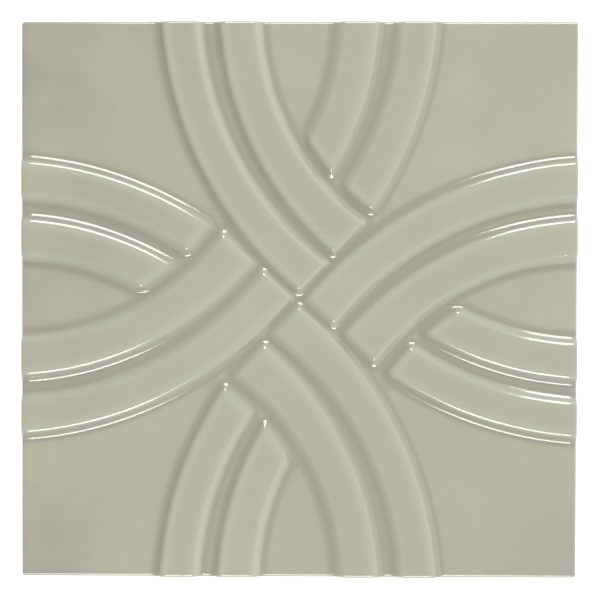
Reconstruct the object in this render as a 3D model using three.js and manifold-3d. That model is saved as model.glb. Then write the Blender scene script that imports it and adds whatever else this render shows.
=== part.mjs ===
// A square glazed wall tile with a woven relief. At the middle of every side two pairs of raised,
// curved ribbons start, mirrored about the middle line of that side. One pair runs on to the centre
// of the tile and passes over its neighbours, the other pair stops where it dives under.
// Millimetres, +Z out of the glazed face, origin at the centre of the flat back.

import * as THREE from 'three';
import { mergeVertices } from 'three/addons/utils/BufferGeometryUtils.js';
import Module from 'manifold-3d';

// The tile body: its field is the low face between the ribbons
const tileSide = 152.4;
const fieldThickness = 8;
const cornerRadius = 1;
const edgeRounding = 1;

// The relief: widths are measured at the foot along the side of the tile, the slope is how far the
// side of a ribbon leans in, and where two ribbons cross their feet overlap a little
const reliefHeight = 1.9;
const ribbonWidth = 13.1;
const grooveWidth = 2.9;
const slopeWidth = 2.1;
const crossingOverlap = 0.6;

// A pair has four edges, each an arc about a point of its own, from the middle line of the side and
// beyond the side. The first ribbon lies outside the second
const firstOuterAcross = 66.9;
const firstOuterBeyond = 6.4;
const firstInnerAcross = 61.7;
const firstInnerBeyond = 4.4;
const secondOuterAcross = 67.6;
const secondOuterBeyond = 4.2;
const secondInnerAcross = 59.4;
const secondInnerBeyond = 1.7;

// How finely the curves are divided: a facet is long enough to hold a slope's mitre at a corner
const facetLength = 2 * slopeWidth;
const slopeSteps = 1;
const cornerSteps = 3;
const roundingSteps = 3;

const glaze = new THREE.MeshStandardMaterial({ color: 0xb6b4a0, roughness: 0.16, metalness: 0 });

const wasm = await Module();
wasm.setup();

const halfSide = tileSide / 2;
const fullThickness = fieldThickness + reliefHeight;
const sides = 4;
const quarterTurn = Math.PI / 2;

// The outer edge of every pair that runs over passes through the centre of the tile
const firstOuterCentre = new THREE.Vector2(firstOuterAcross, halfSide + firstOuterBeyond);
const firstOuter = { centre: firstOuterCentre, radius: firstOuterCentre.length() };
const outerStart = firstOuterAcross - Math.sqrt(firstOuter.radius ** 2 - firstOuterBeyond ** 2);

// The other edges follow it at the side of the tile, each at its distance further in
function edgeInside(distance, across, beyond) {
  const centre = new THREE.Vector2(across, halfSide + beyond);
  return { centre, radius: Math.hypot(across - outerStart - distance, beyond) };
}

const firstInner = edgeInside(ribbonWidth, firstInnerAcross, firstInnerBeyond);
const secondOuter = edgeInside(ribbonWidth + grooveWidth, secondOuterAcross, secondOuterBeyond);
const secondInner = edgeInside(2 * ribbonWidth + grooveWidth, secondInnerAcross, secondInnerBeyond);
const pair = [[firstOuter, firstInner], [secondOuter, secondInner]];

function mirrored({ centre, radius }) {
  return { centre: new THREE.Vector2(-centre.x, centre.y), radius };
}

// A pair that runs over stops at the outer edge of its neighbour, one that dives under at the inner
// edge of the pair beside it
const overStop = {
  centre: new THREE.Vector2(firstOuter.centre.y, -firstOuter.centre.x),
  radius: firstOuter.radius - crossingOverlap,
};
const underStop = { centre: secondInner.centre, radius: secondInner.radius + crossingOverlap };

function toSolid(geometry) {
  geometry.deleteAttribute('normal');
  geometry.deleteAttribute('uv');
  const merged = mergeVertices(geometry);
  return new wasm.Manifold(new wasm.Mesh({
    numProp: 3,
    vertProperties: new Float32Array(merged.attributes.position.array),
    triVerts: new Uint32Array(merged.index.array),
  }));
}

function toGeometry(solid) {
  const mesh = solid.getMesh();
  const geometry = new THREE.BufferGeometry();
  geometry.setAttribute('position', new THREE.BufferAttribute(mesh.vertProperties, mesh.numProp));
  geometry.setIndex(new THREE.BufferAttribute(mesh.triVerts, 1));
  return geometry;
}

// A plate between two heights whose edges lean in by inset over the last rise below its top
function leaningPlate(points, bottom, top, rise, inset, steps) {
  const geometry = new THREE.ExtrudeGeometry(new THREE.Shape(points), {
    depth: top - bottom - 2 * rise,
    bevelThickness: rise,
    bevelSize: inset,
    bevelOffset: -inset,
    bevelSegments: steps,
  });
  return geometry.translate(0, 0, bottom + rise);
}

function arcPoints(centre, radius, from, to, steps = Math.round(radius * Math.abs(to - from) / facetLength)) {
  const clockwise = to < from;
  return new THREE.EllipseCurve(centre.x, centre.y, radius, radius, from, to, clockwise).getPoints(steps);
}

// Where two circles cross, on the side nearer to the centre of the tile
function crossing(centreA, radiusA, centreB, radiusB) {
  const between = centreB.clone().sub(centreA);
  const distance = between.length();
  const along = (distance ** 2 + radiusA ** 2 - radiusB ** 2) / (2 * distance);
  const aside = Math.sqrt(radiusA ** 2 - along ** 2);
  const direction = between.normalize();
  const normal = new THREE.Vector2(-direction.y, direction.x);
  const middle = centreA.clone().addScaledVector(direction, along);
  const ends = [aside, -aside].map((offset) => middle.clone().addScaledVector(normal, offset));
  return ends[0].length() < ends[1].length() ? ends[0] : ends[1];
}

function angleOf(point, centre) {
  return Math.atan2(point.y - centre.y, point.x - centre.x);
}

// The outline of one ribbon: straight in from beyond the side, along its two edges, and cut off by
// the circle that it stops at
function ribbonOutline(edges, stop) {
  const sidesOfRibbon = edges.map(({ centre, radius }) => {
    const outward = centre.x > 0 ? -Math.PI : 0;
    const end = crossing(centre, radius, stop.centre, stop.radius);
    const start = new THREE.Vector2(centre.x + radius * Math.cos(outward), tileSide);
    return { end, points: [start, ...arcPoints(centre, radius, outward, angleOf(end, centre))] };
  });
  const stopAngles = sidesOfRibbon.map((side) => angleOf(side.end, stop.centre));
  const ending = arcPoints(stop.centre, stop.radius, ...stopAngles);
  return [...sidesOfRibbon[0].points, ...ending.slice(1, -1), ...sidesOfRibbon[1].points.reverse()];
}

// A ribbon reaches down past the rounded rim of the body that it runs out over
function ribbonSolid(outline, turn) {
  const bottom = fieldThickness - edgeRounding - reliefHeight;
  const plate = leaningPlate(outline, bottom, fullThickness, reliefHeight, slopeWidth, slopeSteps);
  return toSolid(plate.rotateZ(turn));
}

// The square body with its rounded rim, up to a given height
function squareSolid(height) {
  const corners = [[1, 1], [-1, 1], [-1, -1], [1, -1]];
  const points = corners.map(([x, y]) => new THREE.Vector2(x * halfSide, y * halfSide));
  return toSolid(leaningPlate(points, -edgeRounding, height, edgeRounding, edgeRounding, roundingSteps));
}

// The plain prism with rounded corners that trims everything to the tile's own outline
function trimSolid() {
  const flat = halfSide - cornerRadius;
  const points = [];
  for (let corner = 0; corner < sides; corner++) {
    const middle = new THREE.Vector2(flat, flat).rotateAround(new THREE.Vector2(), corner * quarterTurn);
    const start = corner * quarterTurn;
    points.push(...arcPoints(middle, cornerRadius, start, start + quarterTurn, cornerSteps));
  }
  const shape = new THREE.Shape(points);
  return toSolid(new THREE.ExtrudeGeometry(shape, { depth: fullThickness, bevelEnabled: false }));
}

let ribbons = null;
for (let side = 0; side < sides; side++) {
  const turn = side * quarterTurn;
  for (const edges of pair) {
    const over = ribbonOutline(edges, overStop);
    const under = ribbonOutline(edges.map(mirrored), underStop);
    for (const outline of [over, under]) {
      const ribbon = ribbonSolid(outline, turn);
      ribbons = ribbons ? ribbons.add(ribbon) : ribbon;
    }
  }
}

const tileSolid = squareSolid(fieldThickness)
  .add(ribbons.intersect(squareSolid(fullThickness)))
  .intersect(trimSolid());

const tile = new THREE.Mesh(toGeometry(tileSolid), glaze);
tile.name = 'relief_tile';

const part = new THREE.Group();
part.add(tile);

export default part;
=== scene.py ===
import math

import bmesh
import bpy
import numpy as np
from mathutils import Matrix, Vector
from mathutils.geometry import delaunay_2d_cdt


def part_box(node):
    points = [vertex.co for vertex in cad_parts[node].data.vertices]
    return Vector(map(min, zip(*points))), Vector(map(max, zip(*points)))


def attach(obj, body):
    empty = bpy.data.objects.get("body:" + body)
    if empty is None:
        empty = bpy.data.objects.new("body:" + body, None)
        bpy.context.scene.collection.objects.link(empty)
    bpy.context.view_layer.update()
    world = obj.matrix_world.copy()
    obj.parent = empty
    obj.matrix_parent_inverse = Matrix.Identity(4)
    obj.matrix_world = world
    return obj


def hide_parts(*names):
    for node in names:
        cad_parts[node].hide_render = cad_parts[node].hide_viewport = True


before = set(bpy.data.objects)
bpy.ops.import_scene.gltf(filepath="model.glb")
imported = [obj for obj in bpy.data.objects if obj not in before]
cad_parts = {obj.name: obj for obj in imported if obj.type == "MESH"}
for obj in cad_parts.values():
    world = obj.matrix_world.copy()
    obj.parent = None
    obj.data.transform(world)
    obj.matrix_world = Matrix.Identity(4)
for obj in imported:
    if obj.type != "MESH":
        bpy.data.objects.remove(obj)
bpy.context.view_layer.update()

mm = 0.001
tileLow, tileHigh = (Vector(corner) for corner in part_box("relief_tile"))
halfSide = (tileHigh.x - tileLow.x) / 2
scene = bpy.context.scene

# the woven relief, measured at the foot of a ribbon; the two ribbons of a pair have four edges, each
# an arc: its centre across from the middle line and beyond the side of the tile, and its radius; the
# second ribbon that runs over ends at a wide arc, given by x and y of its centre and its radius
relief = {
    "height": 1.9 * mm,
    "shoulder": 3.2 * mm,           # from the foot in to where the slope ends
    "pillowHeight": 0.16 * mm,
    "pillowWidth": 2.4 * mm,
    "pillowStart": 0.5,             # as a share of the shoulder
    "dipDepth": 0.12 * mm,          # of the field beside a ribbon
    "dipWidth": 3.0 * mm,
    "overGap": -1.3 * mm,           # to the edge that a ribbon stops at, below zero where feet overlap
    "underGap": 0.2 * mm,
    "cornerRounding": 3.0 * mm,
    "grooveBlend": 0.5 * mm,
    "wobble": 0.12 * mm,
    "wobblePerMetre": 70.0,
    "firstOuter": (66.88 * mm, 6.38 * mm, 106.74 * mm),
    "firstInner": (61.69 * mm, 4.43 * mm, 87.49 * mm),
    "secondOuter": (67.55 * mm, 4.23 * mm, 91.44 * mm),
    "secondInner": (59.38 * mm, 1.67 * mm, 68.82 * mm),
    "secondEnd": (234.05 * mm, -189.6 * mm, 300.0 * mm),
}

# how far in x and y the ribbon pairs of each side lie off their even places, in millimetres, from +Y
# by quarter turns
drift = {
    "over": ((0.05, 0.35), (-0.05, 0.7), (0.0, 0.3), (0.0, 0.4)),
    "under": ((-0.1, 0.25), (0.0, 0.5), (-0.45, 0.4), (0.0, 0.0)),
}

# the tile's own rim and corners, and the slow swell of a fired and glazed face
body = {
    "cornerRadius": 1.0 * mm,
    "rimRadius": 0.8 * mm,
    "rollHeight": 0.24 * mm,
    "rollWidth": 3.0 * mm,
    "backChamfer": 0.4 * mm,
    "swellHeight": 0.06 * mm,
    "swellPerMetre": 28.0,
    "sharpDegrees": 35,
}

# how close the points of the mesh lie, along an arc and on the flat faces
meshing = {
    "along": 0.6 * mm,
    "flat": 1.7 * mm,
    "closest": 0.12 * mm,
    "slopeShares": (-0.1, 0.0, 0.07, 0.15, 0.25, 0.37, 0.5, 0.63, 0.75, 0.85, 0.93, 1.0, 1.2, 1.5),
    "rimSteps": 6,
    "rollSteps": 3,
    "cornerSteps": 5,
    "offOutline": 0.02 * mm,
    "crowded": 1.0 * mm,            # the flat faces get no point in a cell of this size that has one
    "sideShares": (0.8, 0.55, 0.3),
}

quarterTurns = range(4)
fieldHeight = tileHigh.z - relief["height"]


# a ribbon lies inside (-1) or outside (+1) of each of its three circles
def edgeCircle(edge, side):
    across, beyond, radius = relief[edge]
    return Vector((across, halfSide + beyond)), radius, side


outerCentre, outerRadius, _ = edgeCircle("firstOuter", -1)
innerCentre, innerRadius, _ = edgeCircle("secondInner", 1)
endX, endY, endRadius = relief["secondEnd"]
firstStop = (Vector((outerCentre.y, -outerCentre.x)), outerRadius + relief["overGap"], 1)
secondStop = (Vector((endX, endY)), endRadius, 1)
underStop = (Vector((-innerCentre.x, innerCentre.y)), innerRadius - relief["underGap"], -1)
ribbonEdges = (("firstOuter", "firstInner"), ("secondOuter", "secondInner"))


def ribbonPair(stops):
    return [
        [edgeCircle(outer, -1), edgeCircle(inner, 1), stop]
        for (outer, inner), stop in zip(ribbonEdges, stops)
    ]


# the pair that runs over, whose second ribbon is cut almost straight, and the pair that dives under,
# which is used with x mirrored
overRibbons = ribbonPair((firstStop, secondStop))
underRibbons = ribbonPair((underStop, underStop))


def makeCamera():
    view = {
        "place": (0.0062, 0.01031, 0.5067),
        "turnDegrees": (-1.178, 0.682, 0.13),
        "lens": 109.24,
        "clipStart": 0.01,
    }
    cameraData = bpy.data.cameras.new("tileCamera")
    cameraData.lens = view["lens"]
    cameraData.clip_start = view["clipStart"]
    camera = bpy.data.objects.new("tileCamera", cameraData)
    camera.location = view["place"]
    camera.rotation_euler = [math.radians(angle) for angle in view["turnDegrees"]]
    scene.collection.objects.link(camera)
    scene.camera = camera


makeCamera()
print("camera placed")


# the flat plan of the tile: points that follow every arc, then triangles between them
def insetFrom(points, circle):
    centre, radius, side = circle
    return side * (np.hypot(points[:, 0] - centre.x, points[:, 1] - centre.y) - radius)


def borderInset(points):
    beyondFlat = np.abs(points) - (halfSide - body["cornerRadius"])
    outside = np.hypot(*np.maximum(beyondFlat, 0).T)
    return body["cornerRadius"] - outside - np.minimum(beyondFlat.max(axis=1), 0)


def circlePoints(centre, radius):
    steps = round(2 * math.pi * radius / meshing["along"])
    angles = np.arange(steps) * 2 * math.pi / steps
    return np.stack([centre.x + radius * np.cos(angles), centre.y + radius * np.sin(angles)], axis=1)


def slopeRows(circles):
    rows = []
    for circle in circles:
        centre, radius, side = circle
        others = [other for other in circles if other is not circle]
        for share in meshing["slopeShares"]:
            depth = share * relief["shoulder"]
            points = circlePoints(centre, radius + side * depth)
            clearance = np.min([insetFrom(points, other) for other in others], axis=0)
            rows.append(points[clearance > depth - meshing["closest"]])
    return np.concatenate(rows)


def turned(points, quarterTurn):
    for _ in range(quarterTurn):
        points = np.stack([-points[:, 1], points[:, 0]], axis=1)
    return points


def borderLoop(inset):
    radius = max(body["cornerRadius"] - inset, 0)
    flat = halfSide - inset - radius
    steps = round(2 * flat / meshing["along"])
    along = np.linspace(-flat, flat, steps + 1)
    side = np.stack([np.full_like(along, halfSide - inset), along], axis=1)
    angles = np.linspace(0, math.pi / 2, meshing["cornerSteps"] + 1)[1:-1]
    corner = flat + radius * np.stack([np.cos(angles), np.sin(angles)], axis=1)
    loop = np.concatenate([side, corner]) if radius > 0 else side[:-1]
    return np.concatenate([turned(loop, quarterTurn) for quarterTurn in quarterTurns])


def thinned(points, distance):
    cells = {}
    kept = []
    for x, y in points:
        column, row = math.floor(x / distance), math.floor(y / distance)
        around = [cells.get((column + i, row + j)) for i in (-1, 0, 1) for j in (-1, 0, 1)]
        if all(near is None or math.hypot(x - near[0], y - near[1]) >= distance for near in around):
            cells[column, row] = (x, y)
            kept.append((x, y))
    return np.array(kept)


def cellOf(point):
    return tuple(math.floor(along / meshing["crowded"]) for along in point)


def planMesh():
    rimAngles = np.linspace(0, math.pi / 2, meshing["rimSteps"] + 1)
    border = [borderLoop(body["rimRadius"] * (1 - math.cos(angle))) for angle in rimAngles]
    rollInsets = np.linspace(body["rimRadius"], body["rollWidth"], meshing["rollSteps"] + 1)
    border += [borderLoop(inset) for inset in rollInsets[1:]]
    rows = np.concatenate([slopeRows(ribbon) for ribbon in overRibbons])
    mirroredRows = np.concatenate([slopeRows(ribbon) for ribbon in underRibbons]) * (-1, 1)
    placed = []
    for layer, points in (("over", rows), ("under", mirroredRows)):
        placed += [turned(points, turn) + np.array(drift[layer][turn]) * mm for turn in quarterTurns]
    rows = np.concatenate(placed)
    rows = rows[borderInset(rows) > meshing["closest"]]
    outline = border[0]
    inner = thinned(np.concatenate([*border[1:], rows]), meshing["closest"])
    inner = inner[borderInset(inner) > meshing["offOutline"]]
    grid = np.arange(-halfSide, halfSide, meshing["flat"])
    flats = np.stack(np.meshgrid(grid, grid), axis=-1).reshape(-1, 2)
    flats = flats[borderInset(flats) > body["rollWidth"]]
    crowded = {cellOf(point) for point in inner}
    flats = [point for point in flats if cellOf(point) not in crowded]
    points = [Vector(point) for point in (*outline, *inner, *flats)]
    loop = [(i, (i + 1) % len(outline)) for i in range(len(outline))]
    insideOnly, sameSpot = 1, 1e-7
    points, _, faces, *_ = delaunay_2d_cdt(points, loop, [], insideOnly, sameSpot)
    mesh = bpy.data.meshes.new("reliefTile")
    mesh.from_pydata([(point.x, point.y, 0) for point in points], [], faces)
    print("plan of", len(points), "points and", len(faces), "triangles")
    return mesh


# node helpers, used by the geometry tree and by the materials
def addNode(tree, kind, values, **settings):
    node = tree.nodes.new(kind)
    for name, setting in settings.items():
        setattr(node, name, setting)
    for key, value in values.items():
        if isinstance(value, bpy.types.NodeSocket):
            tree.links.new(value, node.inputs[key])
        else:
            node.inputs[key].default_value = value
    return node


def calc(tree, operation, *values):
    return addNode(tree, "ShaderNodeMath", dict(enumerate(values)), operation=operation).outputs[0]


def vectorCalc(tree, operation, *values):
    node = addNode(tree, "ShaderNodeVectorMath", dict(enumerate(values)), operation=operation)
    return node.outputs["Value" if operation in ("LENGTH", "DISTANCE") else "Vector"]


def mapRange(tree, value, low, high, toLow=0.0, toHigh=1.0, smooth=True):
    kind = "SMOOTHSTEP" if smooth else "LINEAR"
    values = {"Value": value, "From Min": low, "From Max": high, "To Min": toLow, "To Max": toHigh}
    return addNode(tree, "ShaderNodeMapRange", values, interpolation_type=kind).outputs[0]


def newGroup(name, kind, inputs, outputs):
    tree = bpy.data.node_groups.new(name, kind)
    for direction, sockets in (("INPUT", inputs), ("OUTPUT", outputs)):
        for title, form in sockets.items():
            tree.interface.new_socket(name=title, in_out=direction, socket_type="NodeSocket" + form)
    return tree, tree.nodes.new("NodeGroupInput").outputs, tree.nodes.new("NodeGroupOutput").inputs


# how far a point lies in from the foot of one ribbon, with its corners a little rounded
def makeRibbonInset():
    ins = {"Place": "Vector"}
    for circle in ("Outer", "Inner", "Stop"):
        ins[circle + " Centre"] = "Vector"
        ins[circle + " Radius"] = "Float"
    ins["Stop Side"] = "Float"
    ins["Corner Rounding"] = "Float"
    tree, given, result = newGroup("ribbonInset", "GeometryNodeTree", ins, {"Inset": "Float"})

    def fromCircle(circle):
        distance = vectorCalc(tree, "DISTANCE", given["Place"], given[circle + " Centre"])
        return calc(tree, "SUBTRACT", distance, given[circle + " Radius"])

    across = calc(tree, "MULTIPLY", fromCircle("Outer"), -1.0)
    across = calc(tree, "MINIMUM", across, fromCircle("Inner"))
    ended = calc(tree, "MULTIPLY", fromCircle("Stop"), given["Stop Side"])
    rounding = given["Corner Rounding"]
    short = [calc(tree, "MAXIMUM", calc(tree, "SUBTRACT", rounding, value), 0.0) for value in (across, ended)]
    shorts = addNode(tree, "ShaderNodeCombineXYZ", {"X": short[0], "Y": short[1]}).outputs[0]
    deeper = calc(tree, "MAXIMUM", calc(tree, "MINIMUM", across, ended), rounding)
    inset = calc(tree, "SUBTRACT", deeper, vectorCalc(tree, "LENGTH", shorts))
    tree.links.new(inset, result["Inset"])
    return tree


# raises the plan: the ribbons of all four sides, the rounded rim and a slow swell
def makeReliefTree():
    ribbonInset = makeRibbonInset()
    ins = {
        "Geometry": "Geometry", "Field Height": "Float", "Relief Height": "Float", "Shoulder": "Float",
        "Pillow Height": "Float", "Pillow Width": "Float", "Pillow Start": "Float",
        "Dip Depth": "Float", "Dip Width": "Float", "Corner Rounding": "Float", "Groove Blend": "Float",
        "Wobble": "Float", "Wobble Per Metre": "Float", "Half Side": "Float", "Corner Radius": "Float",
        "Rim Radius": "Float", "Roll Height": "Float", "Roll Width": "Float",
        "Swell Height": "Float", "Swell Per Metre": "Float", "Glaze": "Material",
    }
    tree, given, result = newGroup("tileRelief", "GeometryNodeTree", ins, {"Geometry": "Geometry"})
    place = tree.nodes.new("GeometryNodeInputPosition").outputs[0]

    # the edges wander a little, as in a carved mould, by up to the wobble each way
    values = {"Vector": place, "Scale": given["Wobble Per Metre"]}
    wander = addNode(tree, "ShaderNodeTexNoise", values).outputs["Color"]
    wander = vectorCalc(tree, "SUBTRACT", wander, (0.5, 0.5, 0.5))
    values = {0: wander, "Scale": given["Wobble"]}
    wander = addNode(tree, "ShaderNodeVectorMath", values, operation="SCALE").outputs[0]
    wandered = vectorCalc(tree, "ADD", place, vectorCalc(tree, "MULTIPLY", wander, (2.0, 2.0, 0.0)))

    insets = []
    for quarterTurn in quarterTurns:
        for layer, ribbons, mirror in (("over", overRibbons, 1.0), ("under", underRibbons, -1.0)):
            x, y = drift[layer][quarterTurn]
            seen = vectorCalc(tree, "SUBTRACT", wandered, (x * mm, y * mm, 0.0))
            values = {"Vector": seen, "Angle": -quarterTurn * math.pi / 2}
            seen = addNode(tree, "ShaderNodeVectorRotate", values, rotation_type="Z_AXIS").outputs[0]
            seen = vectorCalc(tree, "MULTIPLY", seen, (mirror, 1.0, 1.0))
            for circles in ribbons:
                values = {"Place": seen, "Corner Rounding": given["Corner Rounding"]}
                for name, (centre, radius, side) in zip(("Outer", "Inner", "Stop"), circles):
                    values[name + " Centre"] = (*centre, 0)
                    values[name + " Radius"] = radius
                values["Stop Side"] = side
                group = addNode(tree, "GeometryNodeGroup", values, node_tree=ribbonInset)
                insets.append(group.outputs["Inset"])
    inset = insets[0]
    for other in insets[1:]:
        inset = calc(tree, "SMOOTH_MAX", inset, other, given["Groove Blend"])

    # ribbon height: a soft S from foot to shoulder, then a slightly pillowed top
    share = calc(tree, "DIVIDE", inset, given["Shoulder"])
    rise = mapRange(tree, share, 0.0, 1.0)
    slopeHeight = calc(tree, "SUBTRACT", given["Relief Height"], given["Pillow Height"])
    slope = calc(tree, "MULTIPLY", rise, slopeHeight)
    pillowStart = calc(tree, "MULTIPLY", given["Shoulder"], given["Pillow Start"])
    pillowEnd = calc(tree, "ADD", given["Shoulder"], given["Pillow Width"])
    pillow = mapRange(tree, inset, pillowStart, pillowEnd, 1.0, 0.0, smooth=False)
    pillow = calc(tree, "SUBTRACT", 1.0, calc(tree, "POWER", pillow, 2.0))
    pillowed = calc(tree, "MULTIPLY_ADD", pillow, given["Pillow Height"], slope)
    height = calc(tree, "ADD", pillowed, given["Field Height"])

    # the field dips a little beside the ribbons
    dipStart = calc(tree, "MULTIPLY", given["Dip Width"], -1.0)
    dip = mapRange(tree, inset, dipStart, 0.0)
    height = calc(tree, "SUBTRACT", height, calc(tree, "MULTIPLY", dip, given["Dip Depth"]))

    # rounded rim: how far in from the border, and the drop of a quarter circle there
    flat = calc(tree, "SUBTRACT", given["Half Side"], given["Corner Radius"])
    flats = addNode(tree, "ShaderNodeCombineXYZ", {"X": flat, "Y": flat}).outputs[0]
    beyond = vectorCalc(tree, "SUBTRACT", vectorCalc(tree, "ABSOLUTE", place), flats)
    outside = vectorCalc(tree, "LENGTH", vectorCalc(tree, "MAXIMUM", beyond, (0.0, 0.0, 0.0)))
    parts = addNode(tree, "ShaderNodeSeparateXYZ", {0: beyond}).outputs
    within = calc(tree, "MINIMUM", calc(tree, "MAXIMUM", parts["X"], parts["Y"]), 0.0)
    rimInset = calc(tree, "SUBTRACT", calc(tree, "SUBTRACT", given["Corner Radius"], outside), within)
    rimInset = calc(tree, "MAXIMUM", rimInset, 0.0)
    fromTop = calc(tree, "MAXIMUM", calc(tree, "SUBTRACT", given["Rim Radius"], rimInset), 0.0)
    rimSquared = calc(tree, "POWER", given["Rim Radius"], 2.0)
    squared = calc(tree, "SUBTRACT", rimSquared, calc(tree, "POWER", fromTop, 2.0))
    quarterCircle = calc(tree, "SQRT", calc(tree, "MAXIMUM", squared, 0.0))
    height = calc(tree, "SUBTRACT", height, calc(tree, "SUBTRACT", given["Rim Radius"], quarterCircle))

    # inside the rim the face rolls off toward it
    roll = mapRange(tree, rimInset, 0.0, given["Roll Width"], 1.0, 0.0, smooth=False)
    rolled = calc(tree, "MULTIPLY", calc(tree, "POWER", roll, 2.0), given["Roll Height"])
    height = calc(tree, "SUBTRACT", height, rolled)

    # slow swell, only ever downwards so that the face stays within its box
    values = {"Vector": place, "Scale": given["Swell Per Metre"], "Detail": 1.0}
    noise = addNode(tree, "ShaderNodeTexNoise", values).outputs[0]
    swell = calc(tree, "MULTIPLY", noise, given["Swell Height"])
    height = calc(tree, "SUBTRACT", height, swell)
    lift = addNode(tree, "ShaderNodeCombineXYZ", {"Z": height}).outputs[0]
    raised = addNode(tree, "GeometryNodeSetPosition", {"Geometry": given["Geometry"], "Offset": lift})
    values = {"Geometry": raised.outputs[0], "Name": "ribbonShare", "Value": share}
    store = addNode(tree, "GeometryNodeStoreNamedAttribute", values, data_type="FLOAT", domain="POINT")
    real = addNode(tree, "GeometryNodeRealizeInstances", {0: store.outputs[0]}).outputs[0]
    glazed = addNode(tree, "GeometryNodeSetMaterial", {"Geometry": real, "Material": given["Glaze"]})
    tree.links.new(glazed.outputs[0], result["Geometry"])
    return tree


def makeRaisedTile(glaze):
    flatTile = bpy.data.objects.new("flatTile", planMesh())
    scene.collection.objects.link(flatTile)
    tree = makeReliefTree()
    modifier = flatTile.modifiers.new("relief", "NODES")
    modifier.node_group = tree
    settings = {
        "Field Height": fieldHeight, "Relief Height": relief["height"], "Shoulder": relief["shoulder"],
        "Pillow Height": relief["pillowHeight"], "Pillow Width": relief["pillowWidth"],
        "Pillow Start": relief["pillowStart"],
        "Dip Depth": relief["dipDepth"], "Dip Width": relief["dipWidth"],
        "Corner Rounding": relief["cornerRounding"], "Groove Blend": relief["grooveBlend"],
        "Wobble": relief["wobble"], "Wobble Per Metre": relief["wobblePerMetre"],
        "Half Side": halfSide, "Corner Radius": body["cornerRadius"], "Rim Radius": body["rimRadius"],
        "Roll Height": body["rollHeight"], "Roll Width": body["rollWidth"],
        "Swell Height": body["swellHeight"], "Swell Per Metre": body["swellPerMetre"], "Glaze": glaze,
    }
    for socket in tree.interface.items_tree:
        if socket.in_out == "INPUT" and socket.name in settings:
            modifier[socket.identifier] = settings[socket.name]
    bpy.context.view_layer.update()
    evaluated = flatTile.evaluated_get(bpy.context.evaluated_depsgraph_get())
    mesh = bpy.data.meshes.new_from_object(evaluated)
    flatTile.modifiers.remove(modifier)
    bpy.data.objects.remove(flatTile)
    return mesh


# the sides, from the rim down to a small chamfer, and the flat back
def closeTile(mesh, clay):
    mesh.materials.append(clay)
    tileForm = bmesh.new()
    tileForm.from_mesh(mesh)
    drops = (body["rimRadius"], body["rollHeight"], body["swellHeight"], relief["dipDepth"])
    lowestRim = fieldHeight - sum(drops)
    levels = [(share * lowestRim, 0) for share in meshing["sideShares"]]
    levels += [(body["backChamfer"], 0), (0, body["backChamfer"])]
    ring = [edge for edge in tileForm.edges if edge.is_boundary]
    for level, inset in levels:
        grown = bmesh.ops.extrude_edge_only(tileForm, edges=ring)["geom"]
        ring = [part for part in grown if isinstance(part, bmesh.types.BMEdge) and part.is_boundary]
        for part in grown:
            if isinstance(part, bmesh.types.BMVert):
                part.co = (part.co.x * (1 - inset / halfSide), part.co.y * (1 - inset / halfSide), level)
    back = bmesh.ops.contextual_create(tileForm, geom=ring)["faces"]
    for face in back:
        face.material_index = 1
    bmesh.ops.recalc_face_normals(tileForm, faces=tileForm.faces)
    tileForm.to_mesh(mesh)
    tileForm.free()
    mesh.shade_smooth()
    mesh.set_sharp_from_angle(angle=math.radians(body["sharpDegrees"]))


# materials
def newMaterial(name):
    material = bpy.data.materials.new(name)
    material.use_nodes = True
    tree = material.node_tree
    return material, tree, tree.nodes["Principled BSDF"]


def mixColours(tree, factor, first, second):
    return addNode(tree, "ShaderNodeMix", {0: factor, 6: first, 7: second}, data_type="RGBA").outputs[2]


# slow clouds, a fine grain and scattered specks, used by the glaze and by the bare clay
def makeMottle():
    ins = {
        "Place": "Vector", "Clouds Per Metre": "Float", "Grain Per Metre": "Float",
        "Specks Per Metre": "Float", "Speck Size": "Float", "Speck Share": "Float",
    }
    outs = {"Clouds": "Float", "Tint": "Float", "Grain": "Float", "Specks": "Float"}
    tree, given, result = newGroup("firedMottle", "ShaderNodeTree", ins, outs)
    values = {"Vector": given["Place"], "Scale": given["Clouds Per Metre"], "Detail": 3.0, "Roughness": 0.55}
    clouds = addNode(tree, "ShaderNodeTexNoise", values).outputs
    values = {"Vector": given["Place"], "Scale": given["Grain Per Metre"], "Detail": 2.0}
    grain = addNode(tree, "ShaderNodeTexNoise", values).outputs[0]
    values = {"Vector": given["Place"], "Scale": given["Specks Per Metre"]}
    cells = addNode(tree, "ShaderNodeTexVoronoi", values).outputs
    chance = addNode(tree, "ShaderNodeSeparateColor", {0: cells["Color"]}).outputs
    size = calc(tree, "MULTIPLY", given["Speck Size"], chance["Green"])
    chosen = calc(tree, "LESS_THAN", chance["Red"], given["Speck Share"])
    speck = calc(tree, "MULTIPLY", calc(tree, "LESS_THAN", cells["Distance"], size), chosen)
    tint = addNode(tree, "ShaderNodeSeparateColor", {0: clouds["Color"]}).outputs["Green"]
    for name, value in (("Clouds", clouds[0]), ("Tint", tint), ("Grain", grain), ("Specks", speck)):
        tree.links.new(value, result[name])
    return tree


mottleGroup = makeMottle()


def addMottle(tree, place, values):
    return addNode(tree, "ShaderNodeGroup", {"Place": place, **values}, node_tree=mottleGroup).outputs


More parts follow.
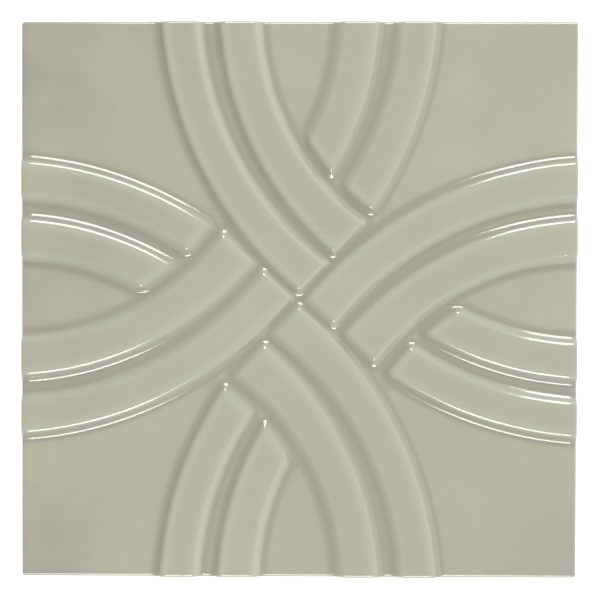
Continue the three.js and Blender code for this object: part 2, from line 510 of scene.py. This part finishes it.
def makeGlaze():
    finish = {
        "celadon": (0.355, 0.347, 0.263, 1),
        "corner": (0.283, 0.275, 0.234, 1),
        # darker glaze pooling at the feet, deepened with painted shade for the creases and grooves
        "pooledShade": (0.262, 0.249, 0.206, 1),
        "thin": (0.380, 0.382, 0.312, 1),
        "mint": (0.360, 0.362, 0.282, 1),
        "warm": (0.352, 0.334, 0.258, 1),
        "clay": (0.60, 0.50, 0.38, 1),
        "speck": (0.13, 0.10, 0.07, 1),
        # painted light: the tone one side and corner fade to, where the light falls brighter
        "paintedLight": (0.376, 0.369, 0.289, 1),
        "cloudRange": (0.35, 0.65),
        "cloudShare": 0.5,
        "cornerStart": -2.0,        # both in shoulder widths out from a ribbon
        "cornerEnd": -10.0,
        "lean": 0.7,
        "leanReach": 0.1,
        "paintedLightShare": 0.6,
        "mintReach": 0.055,
        "mintShare": 0.6,
        "tintRange": (0.45, 0.65),
        "warmShare": 0.6,
        "pooledShadeRise": (-0.5, 0.0),  # these four in shoulder widths in from the foot of a ribbon
        "pooledShadeFall": (0.7, 0.2),
        "thinRise": (0.35, 0.8),
        "thinFall": (1.6, 0.8),
        "pooledShadeShare": 0.6,
        "thinShare": 0.8,
        "rough": 0.13,
        "coat": 0.6,
        "coatRough": 0.06,
        "glazeLine": 2.6 * mm,
        "lineWander": 2.4 * mm,
        "lineBlur": 0.15 * mm,
        "bareRough": 0.85,
        "grainBump": 0.06,
        "grainDepth": 0.1 * mm,
        "mottle": {
            "Clouds Per Metre": 34.0, "Grain Per Metre": 900.0,
            "Specks Per Metre": 160.0, "Speck Size": 0.06, "Speck Share": 0.012,
        },
    }
    material, tree, shader = newMaterial("sageGlaze")
    place = addNode(tree, "ShaderNodeTexCoord", {}).outputs["Object"]
    aim = addNode(tree, "ShaderNodeSeparateXYZ", {0: place}).outputs
    mottle = addMottle(tree, place, finish["mottle"])
    share = addNode(tree, "ShaderNodeAttribute", {}, attribute_name="ribbonShare").outputs["Fac"]
    fromMiddle = vectorCalc(tree, "LENGTH", vectorCalc(tree, "MULTIPLY", place, (1.0, 1.0, 0.0)))

    # greener in the middle, greyer in the corners, clouds in both; painted light brightens one side and
    # corner
    clouds = mapRange(tree, mottle["Clouds"], *finish["cloudRange"])
    fromRibbon = mapRange(tree, share, finish["cornerStart"], finish["cornerEnd"])
    far = calc(tree, "MULTIPLY_ADD", clouds, finish["cloudShare"], fromRibbon)
    colour = mixColours(tree, far, finish["celadon"], finish["corner"])
    leaning = calc(tree, "MULTIPLY_ADD", aim["Y"], finish["lean"] / halfSide, 1.0)
    toCorner = calc(tree, "MULTIPLY", aim["X"], leaning)
    reach = finish["leanReach"]
    # painted light, brighter across the tile toward one side and corner
    paintedLight = mapRange(tree, toCorner, -reach, reach, 0.0, finish["paintedLightShare"])
    colour = mixColours(tree, paintedLight, colour, finish["paintedLight"])
    green = calc(tree, "MULTIPLY", mapRange(tree, fromMiddle, finish["mintReach"], 0.0), finish["mintShare"])
    colour = mixColours(tree, green, colour, finish["mint"])
    tint = mapRange(tree, mottle["Tint"], *finish["tintRange"])
    warm = calc(tree, "MULTIPLY", tint, finish["warmShare"])
    colour = mixColours(tree, warm, colour, finish["warm"])

    # glaze pools at the foot of a ribbon and thins on its shoulders; the dark foot band is partly painted
    # shade of the creases
    for tone in ("pooledShade", "thin"):
        rise = mapRange(tree, share, *finish[tone + "Rise"])
        band = calc(tree, "MULTIPLY", rise, mapRange(tree, share, *finish[tone + "Fall"]))
        colour = mixColours(tree, calc(tree, "MULTIPLY", band, finish[tone + "Share"]), colour, finish[tone])
    colour = mixColours(tree, mottle["Specks"], colour, finish["speck"])

    # the sides are bare below a wavy line
    line = calc(tree, "MULTIPLY_ADD", mottle["Clouds"], finish["lineWander"], -finish["lineWander"] / 2)
    lineTop = finish["glazeLine"] + finish["lineBlur"]
    bare = mapRange(tree, calc(tree, "ADD", aim["Z"], line), lineTop, finish["glazeLine"])
    colour = mixColours(tree, bare, colour, finish["clay"])
    tree.links.new(colour, shader.inputs["Base Color"])
    rough = mapRange(tree, bare, 0.0, 1.0, finish["rough"], finish["bareRough"], smooth=False)
    tree.links.new(rough, shader.inputs["Roughness"])
    coat = mapRange(tree, bare, 0.0, 1.0, finish["coat"], 0.0, smooth=False)
    tree.links.new(coat, shader.inputs["Coat Weight"])
    shader.inputs["Coat Roughness"].default_value = finish["coatRough"]
    values = {"Height": mottle["Grain"], "Strength": finish["grainBump"], "Distance": finish["grainDepth"]}
    bump = addNode(tree, "ShaderNodeBump", values)
    tree.links.new(bump.outputs[0], shader.inputs["Normal"])
    return material


def makeClay():
    finish = {
        "clay": (0.60, 0.50, 0.38, 1),
        "paler": (0.70, 0.61, 0.49, 1),
        "speck": (0.30, 0.20, 0.13, 1),
        "cloudRange": (0.35, 0.65),
        "rough": 0.85,
        "grainBump": 0.5,
        "grainDepth": 0.2 * mm,
        "mottle": {
            "Clouds Per Metre": 60.0, "Grain Per Metre": 1500.0,
            "Specks Per Metre": 300.0, "Speck Size": 0.2, "Speck Share": 0.3,
        },
    }
    material, tree, shader = newMaterial("bareClay")
    place = addNode(tree, "ShaderNodeTexCoord", {}).outputs["Object"]
    mottle = addMottle(tree, place, finish["mottle"])
    clouds = mapRange(tree, mottle["Clouds"], *finish["cloudRange"])
    colour = mixColours(tree, clouds, finish["clay"], finish["paler"])
    colour = mixColours(tree, mottle["Specks"], colour, finish["speck"])
    tree.links.new(colour, shader.inputs["Base Color"])
    shader.inputs["Roughness"].default_value = finish["rough"]
    values = {"Height": mottle["Grain"], "Strength": finish["grainBump"], "Distance": finish["grainDepth"]}
    bump = addNode(tree, "ShaderNodeBump", values)
    tree.links.new(bump.outputs[0], shader.inputs["Normal"])
    return material


raisedMesh = makeRaisedTile(makeGlaze())
closeTile(raisedMesh, makeClay())
tilePiece = bpy.data.objects.new("glazedTile", raisedMesh)
scene.collection.objects.link(tilePiece)
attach(tilePiece, "root")
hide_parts("relief_tile")
print("tile of", len(raisedMesh.polygons), "faces")


# floor and light
def makeFloor():
    ground = {
        "reach": 3.0,
        "below": 0.05 * mm,
        "colour": (0.9, 0.9, 0.9, 1),
        "rough": 0.9,
        "glow": 0.45,
    }
    mesh = bpy.data.meshes.new("floor")
    reach = ground["reach"]
    corners = [(-reach, -reach), (reach, -reach), (reach, reach), (-reach, reach)]
    mesh.from_pydata([(x, y, -ground["below"]) for x, y in corners], [], [(0, 1, 2, 3)])
    floor = bpy.data.objects.new("floor", mesh)
    scene.collection.objects.link(floor)
    material, tree, shader = newMaterial("paleFloor")
    shader.inputs["Base Color"].default_value = ground["colour"]
    shader.inputs["Roughness"].default_value = ground["rough"]
    shader.inputs["Emission Color"].default_value = (1, 1, 1, 1)
    shader.inputs["Emission Strength"].default_value = ground["glow"]

    # clear from below, so that the back of the tile can be looked at
    underside = addNode(tree, "ShaderNodeNewGeometry", {}).outputs["Backfacing"]
    clear = addNode(tree, "ShaderNodeBsdfTransparent", {}).outputs[0]
    oneSided = addNode(tree, "ShaderNodeMixShader", {0: underside, 1: shader.outputs[0], 2: clear})
    tree.links.new(oneSided.outputs[0], tree.nodes["Material Output"].inputs["Surface"])
    mesh.materials.append(material)


def makeSoftbox(name, place, size, radiance):
    lightData = bpy.data.lights.new(name, "AREA")
    lightData.shape = "RECTANGLE"
    lightData.size, lightData.size_y = size
    lightData.energy = radiance * math.pi * size[0] * size[1]
    light = bpy.data.objects.new(name, lightData)
    light.location = place
    light.rotation_euler = (-light.location).to_track_quat("-Z", "Y").to_euler()
    scene.collection.objects.link(light)


# a room with a brighter wall on the right, darker toward the floor, and two boxes that show as lines on
# the slopes of the ribbons
def lightStage():
    softboxes = {
        "topBox": {"place": (0.2, 1.68, 1.07), "size": (1.0, 0.8), "radiance": 10},
        "bottomBox": {"place": (-0.015, -1.55, 1.26), "size": (0.87, 0.8), "radiance": 10.5},
    }
    room = {
        "ceiling": 0.52,
        "wallTop": 0.8,         # heights are the upward part of a direction
        "wallFull": 0.05,
        "wallFoot": 0.5,
        "skirting": 0.25,       # as a share of the wall
        "leftWall": 1.0,
        "rightWall": 2.7,
        "leftEnd": -0.6,
        "rightEnd": 0.8,
    }
    world = bpy.data.worlds.new("studio")
    world.use_nodes = True
    tree = world.node_tree
    background = tree.nodes["Background"]
    background.inputs["Color"].default_value = (1, 1, 1, 1)
    direction = addNode(tree, "ShaderNodeTexCoord", {}).outputs["Generated"]
    aim = addNode(tree, "ShaderNodeSeparateXYZ", {0: direction}).outputs
    ends = (room["leftEnd"], room["rightEnd"], room["leftWall"], room["rightWall"])
    walls = mapRange(tree, aim["X"], *ends, smooth=False)
    nearWall = mapRange(tree, aim["Z"], room["wallTop"], room["wallFull"])
    strength = mapRange(tree, nearWall, 0.0, 1.0, room["ceiling"], walls, smooth=False)
    foot = mapRange(tree, aim["Z"], 0.0, room["wallFoot"], room["skirting"], 1.0)
    strength = calc(tree, "MULTIPLY", strength, foot)
    tree.links.new(strength, background.inputs["Strength"])
    scene.world = world
    for name, values in softboxes.items():
        makeSoftbox(name, **values)
    scene.view_settings.view_transform = "Standard"


makeFloor()
lightStage()
print("floor and light made")
